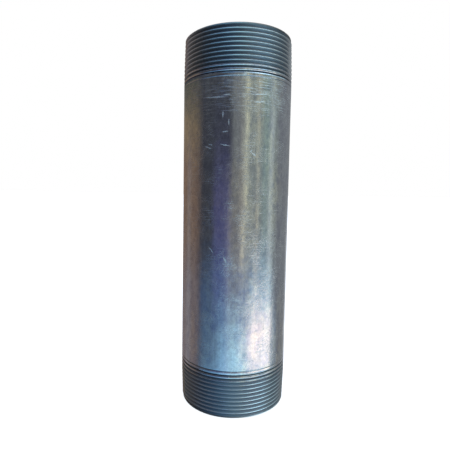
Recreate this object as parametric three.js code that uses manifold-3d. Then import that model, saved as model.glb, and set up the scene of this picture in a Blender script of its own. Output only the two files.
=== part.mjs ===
// Threaded steel pipe nipple, nominal 2 inch by 8 inch, with a taper pipe thread on each end.
// Millimetres, +Z along the pipe. The origin is the centre of the lower end face, which the
// pipe stands on. The thread starts are measured on the -Y side.

import * as THREE from 'three';
import { mergeVertices } from 'three/addons/utils/BufferGeometryUtils.js';
import Module from 'manifold-3d';

const wasm = await Module();
wasm.setup();

// Driving dimensions. Each one can be changed by itself.
const INCH = 25.4;
const OUTSIDE_DIAMETER = 60.325;
const NIPPLE_LENGTH = 203.2;
const WALL = 3.91; // schedule 40
const THREADS_PER_INCH = 11.5;
const END_CHAMFER = 0.6; // 45 degrees, off the crest at each end
const BORE_CHAMFER = 0.5; // 45 degrees, where the bore is reamed
const LOWER_GROOVE = 1.58; // from the lower end face to the middle of its first groove
const UPPER_GROOVE = 1.72; // from the upper end face to the middle of its first groove

// Taper pipe thread. The lengths and diameters follow from the pipe's diameter and the pitch
// by the American standard's own formulas, which take the diameter in inches.
const PITCH = INCH / THREADS_PER_INCH;
const DIAMETER_IN_INCHES = OUTSIDE_DIAMETER / INCH;
const TAPER = 1 / 32; // on the radius, which is 1 in 16 on the diameter
const FLANK_ANGLE = THREE.MathUtils.degToRad(30); // each side of a 60 degree groove
const THREAD_HEIGHT = 0.8 * PITCH;
const END_PITCH_DIAMETER = OUTSIDE_DIAMETER - (0.05 * DIAMETER_IN_INCHES + 1.1) * PITCH;
const FULL_THREAD = (0.8 * DIAMETER_IN_INCHES + 6.8) * PITCH; // length of the true grooves
const VANISH_THREAD = 3.47 * PITCH; // length of the grooves that run out
const THREAD_LENGTH = FULL_THREAD + VANISH_THREAD;

// Radii
const OUTSIDE_RADIUS = OUTSIDE_DIAMETER / 2;
const BORE_RADIUS = OUTSIDE_RADIUS - WALL;
const END_ROOT_RADIUS = (END_PITCH_DIAMETER - THREAD_HEIGHT) / 2;
const END_CREST_RADIUS = (END_PITCH_DIAMETER + THREAD_HEIGHT) / 2;
const END_FACE_RADIUS = END_CREST_RADIUS - END_CHAMFER;

// The grooves get shallower past the true ones, and reach the pipe's surface where the thread
// ends.
const DEPTH_TO_LOSE = OUTSIDE_RADIUS - END_ROOT_RADIUS - THREAD_LENGTH * TAPER;
const RUN_OUT_SLOPE = DEPTH_TO_LOSE / VANISH_THREAD;

// One pitch of the thread form, along the axis from the middle of a crest.
const FLAT_WIDTH = PITCH / 2 - THREAD_HEIGHT * Math.tan(FLANK_ANGLE); // at crest and root
const THREAD_FORM = [
  { along: -FLAT_WIDTH / 2, depth: 0 },
  { along: FLAT_WIDTH / 2, depth: 0 },
  { along: (PITCH - FLAT_WIDTH) / 2, depth: THREAD_HEIGHT },
  { along: (PITCH + FLAT_WIDTH) / 2, depth: THREAD_HEIGHT },
];

const SIDES = 40; // flat sides round the pipe, and steps in each turn of the thread
const MERGE_DISTANCE = 1e-4;

function solid(coordinates, corners) {
  const vertProperties = Float32Array.from(coordinates);
  const triVerts = Uint32Array.from(corners);
  return new wasm.Manifold(new wasm.Mesh({ numProp: 3, vertProperties, triVerts }));
}

// A ring round the pipe's axis, from an outline of [radius, height] points that runs up its
// outside and down its inside.
function ring(outline) {
  const points = outline.map(([radius, height]) => new THREE.Vector2(radius, height));
  const geometry = new THREE.LatheGeometry([...points, points[0]], SIDES);
  geometry.deleteAttribute('normal');
  geometry.deleteAttribute('uv');
  geometry.rotateX(Math.PI / 2);
  const merged = mergeVertices(geometry, MERGE_DISTANCE);
  return solid(merged.attributes.position.array, merged.index.array);
}

// The plain pipe, cut to length, with its ends chamfered outside and reamed inside.
function plainPipe() {
  const top = NIPPLE_LENGTH;
  const chamfer = OUTSIDE_RADIUS - END_FACE_RADIUS;
  return ring([
    [END_FACE_RADIUS, 0],
    [OUTSIDE_RADIUS, chamfer],
    [OUTSIDE_RADIUS, top - chamfer],
    [END_FACE_RADIUS, top],
    [BORE_RADIUS + BORE_CHAMFER, top],
    [BORE_RADIUS, top - BORE_CHAMFER],
    [BORE_RADIUS, BORE_CHAMFER],
    [BORE_RADIUS + BORE_CHAMFER, 0],
  ]);
}

// The thread's crest, at a height above the end face. Past the true grooves it is outside the
// pipe, because it keeps its distance from the root.
function crestRadius(height) {
  const runOut = Math.max(0, height - FULL_THREAD) * RUN_OUT_SLOPE;
  return END_CREST_RADIUS + height * TAPER + runOut;
}

// The corners of a screw's surface. Every step round the axis adds one pitch of the form, a
// little higher than the last.
function screwCoordinates(start, turns) {
  const coordinates = [];
  for (let step = 0; step <= (turns + 1) * SIDES; step++) {
    const angle = (step % SIDES) * (2 * Math.PI / SIDES);
    for (const { along, depth } of THREAD_FORM) {
      const height = start + (step / SIDES) * PITCH + along;
      const radius = crestRadius(height) - depth;
      coordinates.push(radius * Math.cos(angle), radius * Math.sin(angle), height);
    }
  }
  return coordinates;
}

// A corner's number. The form's end is its start one turn later, which joins the turns.
function cornerNumber(step, corner) {
  const wraps = corner === THREAD_FORM.length;
  return wraps ? (step + SIDES) * THREAD_FORM.length : step * THREAD_FORM.length + corner;
}

function screwSides(turns) {
  const corners = [];
  for (let step = 0; step < turns * SIDES; step++) {
    for (let corner = 0; corner < THREAD_FORM.length; corner++) {
      const [low, high] = [cornerNumber(step, corner), cornerNumber(step, corner + 1)];
      const [nextLow, nextHigh] = [cornerNumber(step + 1, corner), cornerNumber(step + 1, corner + 1)];
      corners.push(low, nextLow, nextHigh, low, nextHigh, high);
    }
  }
  return corners;
}

// The screw's two ends. Each is a fan round a point on the axis, which meets one turn of the
// surface's edge and the step in it.
function screwEnds(turns, lowTip, highTip) {
  const corners = [];
  const last = turns * SIDES;
  for (let step = 0; step < SIDES; step++) {
    corners.push(lowTip, cornerNumber(step + 1, 0), cornerNumber(step, 0));
    corners.push(highTip, cornerNumber(last + step, 0), cornerNumber(last + step + 1, 0));
  }
  for (let corner = 0; corner < THREAD_FORM.length; corner++) {
    corners.push(lowTip, cornerNumber(0, corner), cornerNumber(0, corner + 1));
    corners.push(highTip, cornerNumber(last, corner + 1), cornerNumber(last, corner));
  }
  return corners;
}

// A solid taper screw from the height low, or lower, to the height high, or higher. One of its
// grooves is at the height of groove at angle zero, and it is right-handed.
function taperScrew(groove, low, high) {
  const crest = groove + PITCH / 2;
  const start = crest - PITCH * Math.ceil((crest - low) / PITCH + 1);
  const turns = Math.ceil((high - start) / PITCH);
  const coordinates = screwCoordinates(start, turns);
  const lowTip = coordinates.length / 3;
  coordinates.push(0, 0, start + PITCH / 2);
  coordinates.push(0, 0, start + PITCH / 2 + turns * PITCH);
  return solid(coordinates, [...screwSides(turns), ...screwEnds(turns, lowTip, lowTip + 1)]);
}

// What a threading die takes off a pipe end that stands on height zero: a collar with the
// screw's shape left in it.
function dieCut(groove) {
  const low = -PITCH / 2;
  const high = THREAD_LENGTH + PITCH / 2;
  const inside = BORE_RADIUS;
  const outside = OUTSIDE_RADIUS + THREAD_HEIGHT;
  const collar = ring([[outside, low], [outside, high], [inside, high], [inside, low]]);
  return collar.subtract(taperScrew(groove, low, high));
}

// The upper end is cut the same way as the lower, turned end for end. A groove is a quarter of
// a pitch from its height at -Y when it reaches angle zero.
function threadedPipe() {
  const quarterTurn = PITCH / 4;
  const lowerCut = dieCut(LOWER_GROOVE + quarterTurn);
  const upperCut = dieCut(UPPER_GROOVE - quarterTurn)
    .rotate([180, 0, 0])
    .translate([0, 0, NIPPLE_LENGTH]);
  return plainPipe().subtract(lowerCut).subtract(upperCut);
}

function geometryOf(shape) {
  const { vertProperties, triVerts } = shape.getMesh();
  const geometry = new THREE.BufferGeometry();
  geometry.setAttribute('position', new THREE.BufferAttribute(vertProperties, 3));
  geometry.setIndex(new THREE.BufferAttribute(triVerts, 1));
  geometry.computeVertexNormals();
  return geometry;
}

const galvanisedSteel = new THREE.MeshStandardMaterial({
  color: 0x8b8f94,
  roughness: 0.42,
  metalness: 0.9,
});

const pipe = new THREE.Mesh(geometryOf(threadedPipe()), galvanisedSteel);
pipe.name = 'pipe_nipple';

const nipple = new THREE.Group();
nipple.add(pipe);

export default nipple;
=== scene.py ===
"""A galvanised steel pipe nipple, 2 inch by 8 inch, with a taper pipe thread on each end.

The CAD solid pipe_nipple is faceted. One smooth mesh stands for it here: the same thread, with
worn crests and rounded roots, a barrel that isn't perfectly straight, and a seam-welded bore.
Lengths are in millimetres until the mesh is made, and the frame is in metres.
"""

import math

import bpy
import numpy as np
from mathutils import Euler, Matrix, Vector


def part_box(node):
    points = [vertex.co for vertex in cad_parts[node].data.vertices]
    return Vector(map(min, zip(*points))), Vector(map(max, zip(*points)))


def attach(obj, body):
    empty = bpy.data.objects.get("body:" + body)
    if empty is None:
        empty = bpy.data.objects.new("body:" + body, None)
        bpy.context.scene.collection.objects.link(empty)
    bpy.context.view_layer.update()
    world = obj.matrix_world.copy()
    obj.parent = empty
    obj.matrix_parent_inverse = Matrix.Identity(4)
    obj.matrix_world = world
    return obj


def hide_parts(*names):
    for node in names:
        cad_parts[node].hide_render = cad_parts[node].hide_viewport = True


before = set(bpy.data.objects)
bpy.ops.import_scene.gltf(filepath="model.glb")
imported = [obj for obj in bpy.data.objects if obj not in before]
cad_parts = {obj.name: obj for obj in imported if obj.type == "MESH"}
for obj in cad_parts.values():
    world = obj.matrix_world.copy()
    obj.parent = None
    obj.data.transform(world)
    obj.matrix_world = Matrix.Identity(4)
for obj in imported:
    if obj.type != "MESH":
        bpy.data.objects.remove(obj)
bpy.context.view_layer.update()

# ---------------------------------------------------------------- the pipe and its threads

MM = 0.001
INCH = 25.4
LOW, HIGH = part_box("pipe_nipple")
OUTSIDE_RADIUS = (HIGH.x - LOW.x) / 2 / MM
LENGTH = (HIGH.z - LOW.z) / MM
WALL = 3.91
BORE_RADIUS = OUTSIDE_RADIUS - WALL
THREADS_PER_INCH = 11.5
PITCH = INCH / THREADS_PER_INCH
END_CHAMFER = 0.6
BORE_CHAMFER = 0.5
LOWER_GROOVE = 1.58  # from the end face to the middle of the first groove, at -Y
UPPER_GROOVE = 1.72

# American standard taper pipe thread, as in the CAD.
TAPER = 1 / 32  # on the radius
FLANK_RISE = 1 / math.tan(math.radians(30))  # rise of the radius along a groove's side
THREAD_HEIGHT = 0.8 * PITCH
DIAMETER_IN_INCHES = 2 * OUTSIDE_RADIUS / INCH
END_PITCH_RADIUS = OUTSIDE_RADIUS - (0.05 * DIAMETER_IN_INCHES + 1.1) * PITCH / 2
END_ROOT_RADIUS = END_PITCH_RADIUS - THREAD_HEIGHT / 2
END_CREST_RADIUS = END_PITCH_RADIUS + THREAD_HEIGHT / 2
END_FACE_RADIUS = END_CREST_RADIUS - END_CHAMFER
FULL_THREAD = (0.8 * DIAMETER_IN_INCHES + 6.8) * PITCH
VANISH_THREAD = 3.47 * PITCH
THREAD_LENGTH = FULL_THREAD + VANISH_THREAD
RUN_OUT_SLOPE = (OUTSIDE_RADIUS - END_ROOT_RADIUS - THREAD_LENGTH * TAPER) / VANISH_THREAD
FLAT_WIDTH = PITCH / 2 - THREAD_HEIGHT / FLANK_RISE
CREST_WEAR = 0.088  # off the CAD's crests, about as much as the standard allows
WORN_CREST_RADIUS = END_CREST_RADIUS - CREST_WEAR
LAND_START = (OUTSIDE_RADIUS - WORN_CREST_RADIUS) / TAPER  # past it the crests aren't cut

# ---------------------------------------------------------------- the mesh

COLUMNS = 224  # round the pipe
THREAD_ZONE = 27.6  # height of the part of each end that has helical rows
SNAP = 0.05  # helical rows nearer than this to the zone's two ends stop there
BARREL_STEP = 3.0  # between the rings of the barrel
BORE_STEP = 9.0
FACE_EDGE = 0.12  # width of the rounded-over band at the edges of the end faces

# The rows on each side of a groove's middle: shares of its half width, and then a row on the
# crest beside it, a share of the way to the crest's middle. The rest is in pitches.
ROW_SHARES = (0.06, 0.17, 0.5, 0.82)
CREST_ROW_SHARE = 0.45
CREST_ROW_REACH = 0.06  # the most that the share is of
HALF_WIDTHS = (0.12, 0.47)  # the least and the most that the rows allow for
HALF_PITCH = 0.5
ROWS_PER_PITCH = 2 * (len(ROW_SHARES) + 1) + 2

# How wide the rounding of a corner is
CREST_ROUNDING = 0.2
ROOT_ROUNDING = 0.2
CHAMFER_ROUNDING = 0.12
LAND_ROUNDING = 0.1

# What handling, rolling and the seam weld left
NICKS_PER_END = 60
NICK_SIZES = (0.35, 0.9)
NICK_DEPTHS = (0.04, 0.16)
BARREL_UNEVENNESS = 0.035  # at most, inward
BARREL_WAVES = 7
WAVE_LOBES = (2, 7)
WAVE_LENGTHS = (18, 70)
WELD_ANGLE = math.radians(62)
WELD_WIDTH = 1.7
WELD_HEIGHT = 0.32
WELD_FLATNESS = 4  # 2 would be a bell curve
WELD_RIPPLES = ((0.15, 0.21), (0.1, 0.53))  # share of the height, radians to a millimetre

# Strips of the bake map, from its bottom to its top. Each one goes once round the pipe.
LOWER_FACE_STRIP = (0.004, 0.020)
LOWER_THREAD_STRIP = (0.034, 0.214)
BARREL_STRIP = (0.214, 0.674)
UPPER_THREAD_STRIP = (0.674, 0.854)
UPPER_FACE_STRIP = (0.868, 0.884)
BORE_STRIP = (0.898, 0.996)

random = np.random.default_rng(2608)


def soft_max(a, b, width):
    """The greater of the two, with the corner between them rounded."""
    overlap = np.maximum(width - np.abs(a - b), 0) / width
    return np.maximum(a, b) + overlap**2 * width / 4


def soft_min(a, b, width):
    return -soft_max(-a, -b, width)


def root_radius(height):
    run_out = np.maximum(height - FULL_THREAD, 0) * RUN_OUT_SLOPE
    return END_ROOT_RADIUS + height * TAPER + run_out


def crest_radius(height):
    """Towards the barrel the crests are the pipe's own surface."""
    cone = WORN_CREST_RADIUS + height * TAPER
    return soft_min(cone, np.full_like(cone, OUTSIDE_RADIUS), LAND_ROUNDING)


def thread_radius(height, from_groove):
    """The threaded end's radius, at a height above its face and a distance from a groove."""
    root = root_radius(height)
    flank = root + (np.abs(from_groove) - FLAT_WIDTH / 2) * FLANK_RISE
    groove = soft_max(root, flank, ROOT_ROUNDING)
    cut = soft_min(crest_radius(height), groove, CREST_ROUNDING)
    return soft_min(cut, END_FACE_RADIUS + height, CHAMFER_ROUNDING)


def groove_half_width(height):
    """In pitches, at the pipe's surface. The rows of the mesh follow it."""
    depth = np.maximum(crest_radius(height) - root_radius(height), 0)
    return np.clip((depth / FLANK_RISE + FLAT_WIDTH / 2) / PITCH, *HALF_WIDTHS)


def row_offsets(half_width):
    """Where the rows of one groove are, in pitches from its middle."""
    crest_row = half_width + CREST_ROW_SHARE * np.minimum(HALF_PITCH - half_width, CREST_ROW_REACH)
    rising = [half_width * share for share in ROW_SHARES] + [crest_row]
    crest_middle = np.full_like(half_width, -HALF_PITCH)
    groove_middle = np.zeros_like(half_width)
    return [crest_middle, *(-row for row in rising[::-1]), groove_middle, *rising]


def crest_nicks(heights, angles, radii):
    """Small dents in the crests, from handling."""
    dents = np.zeros_like(radii)
    for _ in range(NICKS_PER_END):
        height = random.uniform(0, THREAD_LENGTH)
        angle = random.uniform(0, 2 * math.pi)
        size = random.uniform(*NICK_SIZES)
        depth = random.uniform(*NICK_DEPTHS)
        turn = (angles - angle + math.pi) % (2 * math.pi) - math.pi
        along = turn * OUTSIDE_RADIUS
        dents += depth * np.exp(-(along**2 + (heights - height) ** 2) / size**2)
    on_crest = np.clip((radii - root_radius(heights)) / THREAD_HEIGHT, 0, 1) ** 2
    return dents * on_crest


class Surface:
    """Corners, faces and bake-map places, gathered ring by ring."""

    def __init__(self):
        self.corners = []
        self.count = 0
        self.faces = []
        self.places = []

    def add_corners(self, coordinates):
        numbers = np.arange(self.count, self.count + len(coordinates))
        self.corners.append(coordinates)
        self.count += len(coordinates)
        return numbers

    def add_grid(self, numbers, across, up):
        """A grid of corners, (row, column), as faces. Faces with no area are left out."""
        for low, high, u_low, u_high, v_low, v_high in zip(
            numbers[:-1], numbers[1:], across[:-1], across[1:], up[:-1], up[1:]
        ):
            for i in range(numbers.shape[1] - 1):
                loop = [
                    (low[i], (u_low[i], v_low[i])),
                    (low[i + 1], (u_low[i + 1], v_low[i + 1])),
                    (high[i + 1], (u_high[i + 1], v_high[i + 1])),
                    (high[i], (u_high[i], v_high[i])),
                ]
                if loop[0][0] == loop[3][0]:
                    loop.pop(3)
                if loop[1][0] == loop[2][0]:
                    loop.pop(2)
                if len(loop) > 2:
                    self.faces.append([int(corner) for corner, _ in loop])
                    self.places.extend(place for _, place in loop)

    def add_rings(self, rings, strip, levels):
        """Rings of corner numbers, lowest first, as one strip of the bake map."""
        numbers = np.array([np.append(ring, ring[0]) for ring in rings])
        columns = np.linspace(0, 1, numbers.shape[1])
        across = np.tile(columns, (len(rings), 1))
        share = (np.array(levels) - levels[0]) / (levels[-1] - levels[0])
        up = strip[0] + share * (strip[1] - strip[0])
        self.add_grid(numbers, across, np.tile(up[:, None], (1, numbers.shape[1])))


def ring_corners(radius, height):
    """A ring of corners that starts at the back, +Y."""
    angles = math.pi / 2 + np.arange(COLUMNS) / COLUMNS * 2 * math.pi
    radius = np.broadcast_to(radius, angles.shape)
    heights = np.full_like(angles, height)
    return np.stack([radius * np.cos(angles), radius * np.sin(angles), heights], axis=1)


def end_up(coordinates):
    """The upper end is the lower turned end for end about X."""
    return coordinates * (1, -1, -1) + (0, 0, LENGTH)


def helical_rows(first_groove, turns):
    """The rows that follow the thread: how high each one is at every column, and how far along
    the axis from the middle of its groove."""
    heights = []
    distances = []
    for block in range(-2, math.ceil(THREAD_ZONE / PITCH) + 2):
        groove = first_groove + (turns - HALF_PITCH + block) * PITCH
        for offset in row_offsets(groove_half_width(np.clip(groove, 0, THREAD_ZONE))):
            heights.append(groove + offset * PITCH)
            distances.append(offset * PITCH)
    return np.array(heights), np.array(distances)


def thread_numbers(surface, points, held_rows, edges):
    """The numbers of the thread's corners. Rows that are held at an edge share its corners, and
    past the last column each row goes on as the one a pitch above it."""
    below, above = (held[:, :COLUMNS] for held in held_rows)
    end_edge, barrel_edge = edges
    free = ~(below | above)
    numbers = np.zeros((len(points), COLUMNS + 1), int)
    numbers[:, :COLUMNS][free] = surface.add_corners(points[:, :COLUMNS][free])
    numbers[:, :COLUMNS] = np.where(below, end_edge, numbers[:, :COLUMNS])
    numbers[:, :COLUMNS] = np.where(above, barrel_edge, numbers[:, :COLUMNS])
    numbers[:-ROWS_PER_PITCH, COLUMNS] = numbers[ROWS_PER_PITCH:, 0]
    numbers[-ROWS_PER_PITCH:, COLUMNS] = barrel_edge[0]
    return numbers


def threaded_end(surface, first_groove, strip, upper):
    """The thread on one end. Gives the corner numbers of its two edge rings, in the order of
    the pipe's columns, and the radii of its end edge."""
    start = -math.pi / 2 if upper else math.pi / 2
    turns = np.arange(COLUMNS + 1) / COLUMNS
    heights, distances = helical_rows(first_groove, turns)
    below = heights <= SNAP
    above = heights >= THREAD_ZONE - SNAP
    held = np.where(below, 0, np.where(above, THREAD_ZONE, heights))
    pitches = (distances + held - heights) / PITCH
    from_groove = ((pitches + HALF_PITCH) % 1 - HALF_PITCH) * PITCH
    radii = thread_radius(held, from_groove)
    angles = np.tile(start + turns * 2 * math.pi, (len(heights), 1))
    radii = radii - crest_nicks(held, angles, radii)
    points = np.stack([radii * np.cos(angles), radii * np.sin(angles), held], axis=2)
    points = end_up(points) if upper else points

    # The last row that is held at each edge stands for all of them.
    columns = np.arange(COLUMNS)
    end_rows = below.cumsum(axis=0).max(axis=0)[:COLUMNS] - 1
    barrel_rows = len(heights) - above.sum(axis=0)[:COLUMNS]
    end_edge = surface.add_corners(points[end_rows, columns])
    barrel_edge = surface.add_corners(points[barrel_rows, columns])
    numbers = thread_numbers(surface, points, (below, above), (end_edge, barrel_edge))

    across = np.tile(1 - turns if upper else turns, (len(heights), 1))
    first, last = strip[::-1] if upper else strip
    surface.add_grid(numbers, across, first + held / THREAD_ZONE * (last - first))
    order = -columns % COLUMNS if upper else columns
    return end_edge[order], barrel_edge[order], radii[end_rows, columns][order]


def barrel_rings(surface, lower_edge, upper_edge):
    """The plain part of the pipe, which is very slightly uneven."""
    count = round((LENGTH - 2 * THREAD_ZONE) / BARREL_STEP)
    heights = np.linspace(THREAD_ZONE, LENGTH - THREAD_ZONE, count + 1)
    angles = np.arange(COLUMNS) / COLUMNS * 2 * math.pi
    waves = [
        (random.integers(*WAVE_LOBES), random.uniform(*WAVE_LENGTHS), random.uniform(0, 2 * math.pi))
        for _ in range(BARREL_WAVES)
    ]
    rings = [lower_edge]
    for height in heights[1:-1]:
        wave = sum(
            np.sin(lobes * angles + height * 2 * math.pi / length + phase)
            for lobes, length, phase in waves
        )
        inward = BARREL_UNEVENNESS * (0.5 - 0.5 * wave / len(waves))
        fade = math.sin(math.pi * (height - THREAD_ZONE) / (LENGTH - 2 * THREAD_ZONE)) ** 0.5
        rings.append(surface.add_corners(ring_corners(OUTSIDE_RADIUS - inward * fade, height)))
    rings.append(upper_edge)
    surface.add_rings(rings, BARREL_STRIP, heights)


def bore_radius(height):
    """The bore, with the bead that the seam weld left inside it."""
    angles = math.pi / 2 + np.arange(COLUMNS) / COLUMNS * 2 * math.pi
    along = ((angles - WELD_ANGLE + math.pi) % (2 * math.pi) - math.pi) * BORE_RADIUS
    uneven = 1 + sum(share * math.sin(height * rate) for share, rate in WELD_RIPPLES)
    return BORE_RADIUS - WELD_HEIGHT * uneven * np.exp(-((along / WELD_WIDTH) ** WELD_FLATNESS))


def face_rings(surface, end_radii, height, inward):
    """The rings of an end face, from inside the thread's own edge ring to the reamed bore.
    inward is the way into the pipe along its axis, 1 or -1."""
    reamed = BORE_RADIUS + BORE_CHAMFER
    return [
        surface.add_corners(ring_corners(end_radii - FACE_EDGE, height)),
        surface.add_corners(ring_corners(reamed + FACE_EDGE, height)),
        surface.add_corners(ring_corners(reamed, height + inward * FACE_EDGE / 2)),
        surface.add_corners(ring_corners(bore_radius(height), height + inward * BORE_CHAMFER)),
    ]


def nipple_surface():
    """The whole skin of the pipe: up the outside, over the top, down the bore and under."""
    surface = Surface()
    lower_end, lower_barrel, lower_radii = threaded_end(
        surface, LOWER_GROOVE, LOWER_THREAD_STRIP, upper=False
    )
    upper_end, upper_barrel, upper_radii = threaded_end(
        surface, UPPER_GROOVE, UPPER_THREAD_STRIP, upper=True
    )
    barrel_rings(surface, lower_barrel, upper_barrel)

    top = face_rings(surface, upper_radii, LENGTH, -1)
    bottom = face_rings(surface, lower_radii, 0, 1)[::-1]
    count = round(LENGTH / BORE_STEP)
    heights = np.linspace(LENGTH - BORE_CHAMFER, BORE_CHAMFER, count + 1)
    inner = [
        surface.add_corners(ring_corners(bore_radius(height), height)) for height in heights[1:-1]
    ]
    face = OUTSIDE_RADIUS - BORE_RADIUS
    levels = [0, FACE_EDGE, face - BORE_CHAMFER, face - BORE_CHAMFER + FACE_EDGE, face]
    surface.add_rings([upper_end, *top], UPPER_FACE_STRIP, levels)
    surface.add_rings([top[-1], *inner, bottom[0]], BORE_STRIP, -heights)
    surface.add_rings([*bottom, lower_end], LOWER_FACE_STRIP, [face - x for x in levels[::-1]])
    return surface


def make_nipple(material):
    surface = nipple_surface()
    mesh = bpy.data.meshes.new("nipple_surface")
    corners = np.concatenate(surface.corners) * MM
    mesh.from_pydata(corners.tolist(), [], surface.faces)
    places = mesh.uv_layers.new(name="OFBake")
    places.data.foreach_set("uv", np.array(surface.places, np.float32).ravel())
    mesh.polygons.foreach_set("use_smooth", [True] * len(mesh.polygons))
    mesh.materials.append(material)
    mesh.update()
    nipple = bpy.data.objects.new("nipple_surface", mesh)
    bpy.context.scene.collection.objects.link(nipple)
    return nipple


# ---------------------------------------------------------------- node trees


class Graph:
    """Short calls for building a node tree. An input is a number, a colour or a socket."""

    def __init__(self, tree):
        self.tree = tree
        tree.nodes.clear()

    def add(self, kind, inputs, output=0, **settings):
        node = self.tree.nodes.new(kind)
        for name, value in settings.items():
            setattr(node, name, value)
        for key, value in inputs.items():
            socket = node.inputs[key]
            if isinstance(value, bpy.types.NodeSocket):
                self.tree.links.new(value, socket)
            else:
                socket.default_value = value
        return node.outputs[output] if node.outputs else None

    def math(self, operation, *values, clamp=False):
        return self.add("ShaderNodeMath", dict(enumerate(values)), operation=operation, use_clamp=clamp)

    def step(self, value, start, end, low=0.0, high=1.0):
        """Turns smoothly from low to high as value goes from start to end."""
        inputs = {"Value": value, "From Min": start, "From Max": end, "To Min": low, "To Max": high}
        return self.add("ShaderNodeMapRange", inputs, interpolation_type="SMOOTHSTEP")

    def vector(self, x, y, z):
        return self.add("ShaderNodeCombineXYZ", {0: x, 1: y, 2: z})

    def stretched(self, vector, scale):
        return self.add("ShaderNodeVectorMath", {0: vector, 1: scale}, operation="MULTIPLY")

    def noise(self, vector, detail=2.0, roughness=0.5, distortion=0.0):
        """Features are about one unit of the vector across."""
        inputs = {
            "Vector": vector,
            "Scale": 1.0,
            "Detail": detail,
            "Roughness": roughness,
            "Distortion": distortion,
        }
        return self.add("ShaderNodeTexNoise", inputs)

    def cells(self, vector, smoothness=0.4):
        inputs = {"Vector": vector, "Scale": 1.0, "Smoothness": smoothness}
        return self.add("ShaderNodeTexVoronoi", inputs, feature="SMOOTH_F1")

    def colour_mix(self, factor, low, high, blend="MIX"):
        inputs = {0: factor, 6: low, 7: high}
        return self.add("ShaderNodeMix", inputs, output=2, data_type="RGBA", blend_type=blend)

    def part_mix(self, factor, strength, low, high):
        """A mix that goes no further than strength."""
        return self.colour_mix(self.math("MULTIPLY", factor, strength), low, high)


# ---------------------------------------------------------------- the steel

# Marks on the front of the barrel: arc from the -Y line, height, length, width and tilt.
BRIGHT_MARKS = (
    (-12.0, 167.0, 17.5, 0.5, -2),
    (-5.8, 168.0, 5.5, 0.5, 3),
    (12.0, 168.8, 12.5, 0.45, 8),
    (11.4, 165.0, 9.0, 0.4, 8),
    (5.0, 171.4, 10.0, 0.3, -6),
    (3.1, 177.9, 3.2, 0.5, 2),
    (-7.6, 158.3, 4.5, 0.5, 90),
    (-4.4, 154.5, 4.0, 0.4, 88),
    (-15.6, 142.2, 6.5, 0.45, -20),
    (-14.0, 143.6, 4.0, 0.3, -8),
    (-6.3, 143.2, 7.0, 0.38, -10),
    (8.4, 139.0, 4.5, 0.5, -30),
    (7.0, 140.5, 3.0, 0.4, 50),
    (-6.4, 149.9, 4.4, 0.35, 7),
    (-13.0, 89.6, 6.0, 0.4, -44),
    (-5.3, 84.8, 4.5, 0.5, -60),
)
DARK_MARKS = (
    (5.8, 35.0, 3.6, 2.4, -40),
    (12.0, 47.4, 2.4, 0.8, 0),
    (16.6, 47.9, 1.0, 0.8, 0),
    (10.4, 31.2, 1.0, 0.9, 0),
)
MARK_EDGE = (0.35, 1.0)  # where a mark starts to fade and where it ends, as shares of its size
BRIGHT_RAGGEDNESS = 0.7
DARK_RAGGEDNESS = 1.6
NOISE_MIDDLE = 0.5

# Handling scratches: tilt, length, width, how much more there are at the upper end, strength.
SCRATCH_DIRECTIONS = (
    (0, 10.0, 0.33, 0.24, 0.65),
    (90, 14.0, 0.45, 0.0, 0.4),
    (-24, 7.0, 0.35, -0.04, 0.5),
    (38, 6.0, 0.35, -0.04, 0.45),
    (-62, 8.0, 0.35, -0.05, 0.45),
)
STROKE_LEVELS = (0.58, 0.72)  # where a noise starts to be a scratch and where it is a full one
PATCH_LEVELS = (0.42, 0.6)
GRIP_STARTS = (LENGTH - 48, LENGTH - 34)  # heights between which the gripped part fades in
GRIP_ENDS = (LENGTH - 25, LENGTH - 29)
GRIP_STROKES = 0.25  # share of a scratch's extra that goes to its own noise

# Patterns in the metal: features to a millimetre, along X, Y and Z, and the noise's settings.
PATTERNS = {
    "broad": ((0.05, 0.05, 0.018), {"detail": 3.0}),
    "blotches": ((0.34, 0.34, 0.2), {"detail": 5.0, "roughness": 0.65}),
    "clouds": ((0.19, 0.19, 0.08), {"detail": 3.0, "distortion": 0.8}),
    "speckle": ((0.95, 0.95, 0.7), {"detail": 3.0, "roughness": 0.7}),
    "streaks": ((1.1, 1.1, 0.02), {"detail": 3.0, "roughness": 0.65}),
    "dents": ((0.13, 0.13, 0.1), {"detail": 2.0}),
    "patches": ((0.07, 0.07, 0.07), {"detail": 3.0}),
    "wobble": ((0.9, 0.9, 0.9), {"detail": 3.0}),
}
CELLS = (0.45, 0.45, 0.34)

# Where each kind of surface starts to show and where it is full. Depths are below the crests,
# places are distances from the nearer end face, and radii are from the pipe's axis.
CUT_DEPTHS = (0.03, 0.2)
# Over these depths the grooves turn darker: partly dirt, partly painted shade.
GROOVE_DEPTHS = (0.12, 1.1)
# The crests' mask: wear, and a painted highlight in the crests' colour.
WORN_AND_HIGHLIGHT_DEPTHS = (0.2, 0.06)
WORN_AND_HIGHLIGHT_PLACES = (21, 15)
THREAD_PLACES = (THREAD_LENGTH + 0.6, THREAD_LENGTH - 0.6)
CUT_CREST_PLACES = (LAND_START + 1.0, LAND_START - 1.5)
RUN_OUT_PLACES = (19, 24)
# The band of painted shade along the rims at the end faces.
RIM_START_PLACES = (0.02, 0.1)
RIM_END_PLACES = (1.1, 0.5)
BORE_RADII = (BORE_RADIUS + 0.25, BORE_RADIUS + 0.05)

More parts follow.
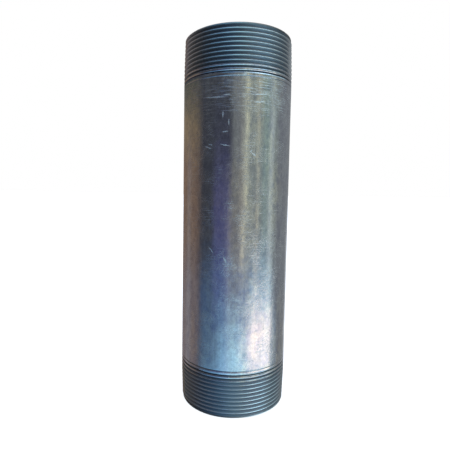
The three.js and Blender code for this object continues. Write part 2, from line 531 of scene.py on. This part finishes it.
# The zinc. Levels are where a pattern starts to count and where it counts in full.
COOL_ZINC = (0.58, 0.61, 0.64, 1)
WARM_ZINC = (0.65, 0.64, 0.6, 1)
BLOTCHED_ZINC = (0.47, 0.49, 0.54, 1)
CLOUDED_ZINC = (0.42, 0.44, 0.51, 1)
SCRATCHED_ZINC = (0.86, 0.88, 0.86, 1)
STAINED_ZINC = (0.25, 0.31, 0.36, 1)
WARM_LEVELS = (0.35, 0.65)
BLOTCH_LEVELS = (0.34, 0.56)
CLOUD_LEVELS = (0.42, 0.54)
CLOUD_STRENGTH = 0.35
STREAK_SHADE = (0.3, 0.85)  # how much of the pattern, and what is added to it
SPECKLE_SHADE = (0.7, 0.65)
CELL_LEVELS = (0.1, 0.7)
CELL_SHADE = (1.03, 0.97)
SCRATCH_STRENGTH = 0.8
STAIN_STRENGTH = 0.6

# The cut steel, and the dull zinc in the bore
DARK_CUT = (0.32, 0.35, 0.35, 1)
LIGHT_CUT = (0.56, 0.6, 0.6, 1)
# Deeper in the grooves the steel is darker: partly cutting-oil dirt, partly painted shade.
GROOVE_DIRT_AND_SHADE = (0.35, 0.39, 0.43, 1)
# Near-white crests: worn steel, and partly a painted highlight along the crest lines.
WORN_AND_HIGHLIGHT_COLOUR = (0.82, 0.88, 0.87, 1)
WORN_AND_HIGHLIGHT_STRENGTH = 0.8
# Painted shade: a dark outline along the rims at the end faces.
RIM_SHADE_COLOUR = (0.08, 0.09, 0.09, 1)
RIM_SHADE_STRENGTH = 0.75
RUN_OUT_COLOUR = (0.11, 0.12, 0.14, 1)
RUN_OUT_STRENGTH = 0.75
DARK_BORE = (0.2, 0.2, 0.21, 1)
LIGHT_BORE = (0.42, 0.42, 0.43, 1)

ZINC_ROUGHNESS = 0.08  # what the patterns add to
BLOTCH_ROUGHNESS = 0.14
STREAK_ROUGHNESS = 0.05
SCRATCH_ROUGHNESS = 0.42
CUT_ROUGHNESS = 0.32
WORN_ROUGHNESS = -0.1  # wear polishes the crests
BORE_ROUGHNESS = 0.6
STEEL_IOR = 2.5

# How far each pattern raises the surface, in millimetres
RELIEF = {"dents": 0.12, "blotches": 0.025, "streaks": 0.012, "speckle": 0.008, "scratches": -0.02}


def surface_places(graph):
    """Where a point of the surface is, in millimetres, as sockets."""
    place = graph.add("ShaderNodeTexCoord", {}, output="Object")
    place = graph.stretched(place, (1 / MM, 1 / MM, 1 / MM))
    x = graph.add("ShaderNodeSeparateXYZ", {0: place}, output=0)
    y = graph.add("ShaderNodeSeparateXYZ", {0: place}, output=1)
    z = graph.add("ShaderNodeSeparateXYZ", {0: place}, output=2)
    squares = graph.math("ADD", graph.math("POWER", x, 2.0), graph.math("POWER", y, 2.0))
    radius = graph.math("SQRT", squares)
    back = graph.math("MULTIPLY", y, -1.0)
    arc = graph.math("MULTIPLY", graph.math("ARCTAN2", x, back), OUTSIDE_RADIUS)
    from_end = graph.math("MINIMUM", z, graph.math("SUBTRACT", LENGTH, z))
    return {"place": place, "radius": radius, "arc": arc, "height": z, "from_end": from_end}


def pattern(graph, places, name):
    scale, settings = PATTERNS[name]
    return graph.noise(graph.stretched(places["place"], scale), **settings)


def marks(graph, places, table, raggedness):
    """1 on the marks of the table and 0 off them."""
    wobble = pattern(graph, places, "wobble")
    shift = graph.math("MULTIPLY", graph.math("SUBTRACT", wobble, NOISE_MIDDLE), raggedness)
    arc = graph.math("ADD", places["arc"], shift)
    height = graph.math("ADD", places["height"], shift)
    flat = graph.vector(arc, height, 0.0)
    total = 0.0
    for along, up, length, width, tilt in table:
        inputs = {
            "Vector": flat,
            "Location": (along, up, 0),
            "Rotation": (0, 0, math.radians(tilt)),
            "Scale": (length / 2, width, 1),
        }
        local = graph.add("ShaderNodeMapping", inputs, vector_type="TEXTURE")
        distance = graph.add("ShaderNodeVectorMath", {0: local}, output="Value", operation="LENGTH")
        total = graph.math("MAXIMUM", total, graph.step(distance, *MARK_EDGE, 1.0, 0.0))
    return total


def handling_scratches(graph, places):
    """Fine scratches all over, in a few directions. They are thickest round the barrel's upper
    end, where the jaws held it."""
    patches = pattern(graph, places, "patches")
    height = places["height"]
    gripped = graph.math("MULTIPLY", graph.step(height, *GRIP_STARTS), graph.step(height, *GRIP_ENDS))
    flat = graph.vector(places["arc"], height, 0.0)
    total = 0.0
    for tilt, length, width, grip, strength in SCRATCH_DIRECTIONS:
        turn = {"Vector": flat, "Rotation": (0, 0, math.radians(tilt)), "Location": (tilt, 0, 0)}
        turned = graph.add("ShaderNodeMapping", turn)
        strokes = graph.noise(graph.stretched(turned, (1 / length, 1 / width, 1)), detail=2.0)
        where = graph.math("MULTIPLY_ADD", gripped, grip, patches)
        strokes = graph.math("MULTIPLY_ADD", gripped, grip * GRIP_STROKES, strokes)
        strokes = graph.step(strokes, *STROKE_LEVELS)
        strokes = graph.math("MULTIPLY", strokes, graph.step(where, *PATCH_LEVELS))
        total = graph.math("MAXIMUM", total, graph.math("MULTIPLY", strokes, strength))
    return total


def surface_zones(graph, places):
    """How much a point belongs to each kind of surface, from 0 to 1."""
    from_end = places["from_end"]
    crest = graph.math("MULTIPLY_ADD", from_end, TAPER, WORN_CREST_RADIUS)
    crest = graph.math("MINIMUM", crest, OUTSIDE_RADIUS)
    depth = graph.math("SUBTRACT", crest, places["radius"])
    threaded = graph.step(from_end, *THREAD_PLACES)
    cut_crest = graph.step(from_end, *CUT_CREST_PLACES)
    cut = graph.math("MULTIPLY", graph.step(depth, *CUT_DEPTHS), threaded)
    # The crests near the ends: worn, and lightened in the colour as a painted highlight.
    worn = graph.math("MULTIPLY", graph.step(depth, *WORN_AND_HIGHLIGHT_DEPTHS), graph.step(from_end, *WORN_AND_HIGHLIGHT_PLACES))
    rim = graph.math("MULTIPLY", graph.step(from_end, *RIM_START_PLACES), cut_crest)
    return {
        "cut": graph.math("MAXIMUM", cut, cut_crest),
        "groove": graph.math("MULTIPLY", graph.step(depth, *GROOVE_DEPTHS), threaded),
        "worn": worn,
        "rim": graph.math("MULTIPLY", rim, graph.step(from_end, *RIM_END_PLACES)),
        "run_out": graph.step(from_end, *RUN_OUT_PLACES),
        "bore": graph.step(places["radius"], *BORE_RADII),
    }


def zinc_colour(graph, places, looks):
    """The barrel's zinc, with its blotches, grain, scratches and stains."""
    zinc = graph.colour_mix(graph.step(looks["broad"], *WARM_LEVELS), COOL_ZINC, WARM_ZINC)
    zinc = graph.colour_mix(graph.step(looks["blotches"], *BLOTCH_LEVELS), BLOTCHED_ZINC, zinc)
    clouded = graph.step(looks["clouds"], *CLOUD_LEVELS, CLOUD_STRENGTH, 0.0)
    zinc = graph.colour_mix(clouded, zinc, CLOUDED_ZINC)
    cells = graph.cells(graph.stretched(places["place"], CELLS))
    shade = graph.math("MULTIPLY_ADD", looks["streaks"], *STREAK_SHADE)
    speckled = graph.math("MULTIPLY_ADD", looks["speckle"], *SPECKLE_SHADE)
    shade = graph.math("MULTIPLY", shade, speckled)
    shade = graph.math("MULTIPLY", shade, graph.step(cells, *CELL_LEVELS, *CELL_SHADE))
    zinc = graph.colour_mix(1.0, zinc, graph.vector(shade, shade, shade), blend="MULTIPLY")
    zinc = graph.part_mix(looks["scratches"], SCRATCH_STRENGTH, zinc, SCRATCHED_ZINC)
    stains = marks(graph, places, DARK_MARKS, DARK_RAGGEDNESS)
    return graph.part_mix(stains, STAIN_STRENGTH, zinc, STAINED_ZINC)


def cut_colour(graph, zones, looks):
    """The threads' bare steel: worn and with a painted highlight on the crests, dirt and painted shade
    in the grooves, painted shade at the rims, and dark at the run-outs.
    """
    steel = graph.colour_mix(looks["speckle"], DARK_CUT, LIGHT_CUT)
    # Painted shade, with some dirt: the steel darkens with depth into the grooves.
    steel = graph.colour_mix(zones["groove"], steel, GROOVE_DIRT_AND_SHADE)
    # Lightens the crests: wear, and partly a painted highlight.
    steel = graph.part_mix(zones["worn"], WORN_AND_HIGHLIGHT_STRENGTH, steel, WORN_AND_HIGHLIGHT_COLOUR)
    # Painted shade darkens the rims.
    steel = graph.part_mix(zones["rim"], RIM_SHADE_STRENGTH, steel, RIM_SHADE_COLOUR)
    return graph.part_mix(zones["run_out"], RUN_OUT_STRENGTH, steel, RUN_OUT_COLOUR)


def steel_roughness(graph, zones, looks):
    rough = graph.math("MULTIPLY_ADD", looks["blotches"], BLOTCH_ROUGHNESS, ZINC_ROUGHNESS)
    rough = graph.math("MULTIPLY_ADD", looks["streaks"], STREAK_ROUGHNESS, rough)
    rough = graph.math("MULTIPLY_ADD", looks["scratches"], SCRATCH_ROUGHNESS, rough)
    rough = graph.math("MAXIMUM", rough, graph.math("MULTIPLY", zones["cut"], CUT_ROUGHNESS))
    rough = graph.math("MULTIPLY_ADD", zones["worn"], WORN_ROUGHNESS, rough)
    in_bore = graph.math("MULTIPLY", zones["bore"], BORE_ROUGHNESS)
    return graph.math("MAXIMUM", rough, in_bore, clamp=True)


def steel_normal(graph, looks):
    relief = 0.0
    for name, height in RELIEF.items():
        relief = graph.math("MULTIPLY_ADD", looks[name], height, relief)
    return graph.add("ShaderNodeBump", {"Height": relief, "Strength": 1.0, "Distance": MM})


def galvanised_steel():
    """Zinc on the barrel, cut steel on the threads and the end faces, dull zinc in the bore."""
    material = bpy.data.materials.new("galvanised_steel")
    material.use_nodes = True
    graph = Graph(material.node_tree)
    places = surface_places(graph)
    zones = surface_zones(graph, places)
    names = ("broad", "blotches", "clouds", "speckle", "streaks", "dents")
    looks = {name: pattern(graph, places, name) for name in names}
    strokes = handling_scratches(graph, places)
    clear_marks = marks(graph, places, BRIGHT_MARKS, BRIGHT_RAGGEDNESS)
    looks["scratches"] = graph.math("MAXIMUM", strokes, clear_marks)

    colour = graph.colour_mix(
        zones["cut"], zinc_colour(graph, places, looks), cut_colour(graph, zones, looks)
    )
    dull = graph.colour_mix(looks["blotches"], DARK_BORE, LIGHT_BORE)
    surface = {
        "Base Color": graph.colour_mix(zones["bore"], colour, dull),
        "Metallic": 1.0,
        "Roughness": steel_roughness(graph, zones, looks),
        "IOR": STEEL_IOR,
        "Normal": steel_normal(graph, looks),
    }
    shader = graph.add("ShaderNodeBsdfPrincipled", surface)
    graph.add("ShaderNodeOutputMaterial", {"Surface": shader})
    return material


# ---------------------------------------------------------------- the studio

# What the metal reflects: soft panels round the object, which add up. Azimuth is 0 in front of
# the object, at -Y, and grows to the right, towards +X. Both angles are in degrees, and so are
# the widths that each panel's sides, and its top and bottom, fade over.
ROOM_COLOUR = (0.066, 0.07, 0.086)
PANELS = (
    # azimuths, fade, elevations, fade, colour
    # The warm wall on the left, and what is above it and below it
    ((-180, -84), 22, (-31, 12), 6, (0.172, 0.09, 0.035)),
    ((-180, -84), 22, (-31, -10), 10, (0.0, 0.035, 0.08)),
    ((-180, -84), 22, (6, 16), 3, (0.04, 0.05, 0.02)),
    ((-180, -84), 22, (16, 42), 4, (-0.055, -0.055, -0.07)),
    ((-75, 0), 20, (18, 26), 3, (0.12, 0.13, 0.11)),
    ((-180, -100), 20, (-90, -50), 14, (0.1, 0.08, 0.04)),
    ((-180, -100), 20, (-50, -30), 6, (-0.05, -0.05, -0.07)),
    ((-170, -70), 20, (45, 75), 16, (0.2, 0.21, 0.3)),
    # Blue cloth in front
    ((-47, -12), 12, (-16, 4), 12, (0.05, 0.05, 0.17)),
    # A grey wall on the right, and the wall and the soft boxes behind the object
    ((-18, 96), 14, (-60, -1), 10, (0.21, 0.2, 0.18)),
    ((-9, 96), 14, (-1, 60), 10, (0.2, 0.21, 0.19)),
    ((14, 96), 10, (-60, 60), 20, (0.07, 0.1, 0.08)),
    ((56, 72), 8, (-60, 60), 20, (-0.02, 0.06, 0.06)),
    ((96, 200), 8, (-40, 30), 20, (0.2, 0.21, 0.21)),
    ((150, 200), 12, (-60, -4), 12, (0.42, 0.43, 0.45)),
    ((-200, -170), 10, (-60, -4), 12, (0.36, 0.42, 0.5)),
    ((-128, -112), 8, (-60, 6), 12, (0.08, 0.09, 0.1)),
    # Strip lamps on the right, and the glow round them
    ((19, 23), 3, (-3, 60), 6, (0.78, 0.72, 0.44)),
    ((7, 20), 8, (-6, 11), 6, (0.12, 0.09, 0.05)),
    ((13, 18), 3, (-10, -3), 6, (0.75, 0.68, 0.45)),
    ((8, 75), 12, (-40, -8), 6, (-0.01, 0.01, 0.08)),
    ((44, 47.5), 3, (-60, 60), 10, (0.55, 0.47, 0.3)),
    ((73, 84), 6, (-60, 15), 20, (0.32, 0.36, 0.36)),
    # The bluish floor, paler towards the right
    ((-80, 96), 20, (-90, -11), 8, (0.03, 0.09, 0.2)),
    ((-75, 96), 25, (-90, -20.5), 4, (0.07, 0.12, 0.12)),
    ((-32, 96), 25, (-90, -18), 5, (0.1, 0.22, 0.34)),
    ((-8, 28), 16, (-90, -20.5), 4, (0.14, 0.3, 0.24)),
    ((-42, 30), 20, (-90, -20.5), 3, (0.12, 0.2, 0.22)),
    ((-70, 10), 20, (-60, -27), 6, (0.0, 0.1, 0.25)),
    ((115, 180), 20, (-90, -40), 15, (0.15, 0.4, 0.6)),
    # Its sunlit part
    ((33, 88), 6, (-24.5, -12.6), 5, (0.22, 0.42, 0.46)),
    ((34, 88), 5, (-24, -17.6), 3.5, (1.4, 0.62, 0.3)),
    ((15, 35), 6, (-25, -20.3), 3, (0.95, 0.55, 0.35)),
    # Sky through a window
    ((-35, 90), 20, (28, 58), 8, (0.0, 0.14, 0.34)),
    ((32, 84), 22, (29, 50), 8, (1.0, 1.5, 1.9)),
    ((88, 125), 16, (23, 36), 6, (0.35, 0.6, 0.75)),
    # The ceiling
    ((-200, 85), 30, (60, 95), 20, (0.3, 0.38, 0.5)),
    ((85, 200), 30, (60, 95), 20, (0.12, 0.15, 0.2)),
    ((-180, 180), 1, (76, 95), 16, (-0.04, 0.04, 0.4)),
)
# Towards the floor the panels' sides wander by this many degrees in all, and their tops and
# bottoms by a share of that. It starts at the first elevation and is full at the second.
RAGGEDNESS = 45.0
RAGGED_UPWARD = 0.15
RAGGED_ELEVATIONS = (-9.0, -17.0)
RAGGED_SCALE = (4, 4, 32)
WHITE = (1, 1, 1, 1)
FLOOR_COLOUR = (0.93, 0.93, 0.93, 1)
FLOOR_GLOW = 0.8
FLOOR_SIZE = 60.0  # in metres
FLOOR_GAP = 0.0002  # under the object, so that the two don't touch
SUN_STRENGTH = 0.5
SUN_SOFTNESS = math.radians(120)


def panel_mask(graph, azimuth, elevation, panel):
    """1 inside a panel and 0 outside it."""
    mask = 1.0
    for angle, (start, end), fade in ((azimuth, *panel[0:2]), (elevation, *panel[2:4])):
        entering = graph.step(angle, start - fade / 2, start + fade / 2)
        leaving = graph.step(angle, end - fade / 2, end + fade / 2, 1.0, 0.0)
        mask = graph.math("MULTIPLY", graph.math("MULTIPLY", mask, entering), leaving)
    return mask


def make_world():
    """White to the camera. The metal sees the soft panels."""
    world = bpy.data.worlds.new("studio")
    world.use_nodes = True
    bpy.context.scene.world = world
    graph = Graph(world.node_tree)
    way = graph.add("ShaderNodeTexCoord", {}, output="Generated")
    x = graph.add("ShaderNodeSeparateXYZ", {0: way}, output=0)
    y = graph.add("ShaderNodeSeparateXYZ", {0: way}, output=1)
    z = graph.add("ShaderNodeSeparateXYZ", {0: way}, output=2)
    back = graph.math("MULTIPLY", y, -1.0)
    azimuth = graph.math("DEGREES", graph.math("ARCTAN2", x, back))
    elevation = graph.math("DEGREES", graph.math("ARCSINE", z))
    wander = graph.noise(graph.stretched(way, RAGGED_SCALE), detail=3.0)
    wander = graph.math("MULTIPLY", graph.math("SUBTRACT", wander, NOISE_MIDDLE), RAGGEDNESS)
    wander = graph.math("MULTIPLY", wander, graph.step(elevation, *RAGGED_ELEVATIONS))
    azimuth = graph.math("ADD", azimuth, wander)
    elevation = graph.math("MULTIPLY_ADD", wander, RAGGED_UPWARD, elevation)
    colour = (*ROOM_COLOUR, 1)
    for panel in PANELS:
        mask = panel_mask(graph, azimuth, elevation, panel)
        colour = graph.colour_mix(mask, colour, (*panel[-1], 1), blend="ADD")
    room = graph.add("ShaderNodeBackground", {"Color": colour, "Strength": 1.0})
    paper = graph.add("ShaderNodeBackground", {"Color": WHITE, "Strength": 1.0})
    to_camera = graph.add("ShaderNodeLightPath", {}, output="Is Camera Ray")
    seen = graph.add("ShaderNodeMixShader", {0: to_camera, 1: room, 2: paper})
    graph.add("ShaderNodeOutputWorld", {"Surface": seen})


def make_floor():
    """A plain pale floor. Its own glow makes it white like the background, without burning
    out the object's outline as a strong lamp would."""
    material = bpy.data.materials.new("floor")
    material.use_nodes = True
    graph = Graph(material.node_tree)
    matt = graph.add("ShaderNodeBsdfDiffuse", {"Color": FLOOR_COLOUR})
    glow = graph.add("ShaderNodeEmission", {"Color": WHITE, "Strength": FLOOR_GLOW})
    both = graph.add("ShaderNodeAddShader", {0: matt, 1: glow})
    graph.add("ShaderNodeOutputMaterial", {"Surface": both})
    half = FLOOR_SIZE / 2
    height = LOW.z - FLOOR_GAP
    mesh = bpy.data.meshes.new("floor")
    square = [(-half, -half, height), (half, -half, height), (half, half, height), (-half, half, height)]
    mesh.from_pydata(square, [], [(0, 1, 2, 3)])
    mesh.materials.append(material)
    floor = bpy.data.objects.new("floor", mesh)
    bpy.context.scene.collection.objects.link(floor)
    floor.visible_glossy = False


def make_sun():
    """Soft light from straight above, for the floor. The metal reflects the panels instead."""
    lamp = bpy.data.lights.new("overhead", "SUN")
    lamp.energy = SUN_STRENGTH
    lamp.angle = SUN_SOFTNESS
    sun = bpy.data.objects.new("overhead", lamp)
    sun.visible_glossy = False
    bpy.context.scene.collection.objects.link(sun)


# The camera's place is in outside radii from the middle of the lower end face, and its turn is
# in degrees. The lens and the sensor are in millimetres.
CAMERA_PLACE = (-0.106, -7.623, 3.9445)
CAMERA_TURN = (85.427, -0.95, 0.745)
LENS = 31.56
SENSOR = 36.0
NEAREST, FARTHEST = 0.01, 200.0  # in metres


def make_camera():
    data = bpy.data.cameras.new("camera")
    data.lens = LENS
    data.sensor_width = SENSOR
    data.clip_start = NEAREST
    data.clip_end = FARTHEST
    camera = bpy.data.objects.new("camera", data)
    camera.location = Vector(CAMERA_PLACE) * OUTSIDE_RADIUS * MM
    camera.rotation_euler = Euler([math.radians(angle) for angle in CAMERA_TURN])
    bpy.context.scene.collection.objects.link(camera)
    bpy.context.scene.camera = camera


def set_colours():
    settings = bpy.context.scene.view_settings
    settings.view_transform = "Standard"
    settings.look = "None"


make_camera()
set_colours()
make_world()
make_floor()
make_sun()

nipple = make_nipple(galvanised_steel())
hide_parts("pipe_nipple")
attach(nipple, "root")

bpy.context.view_layer.update()
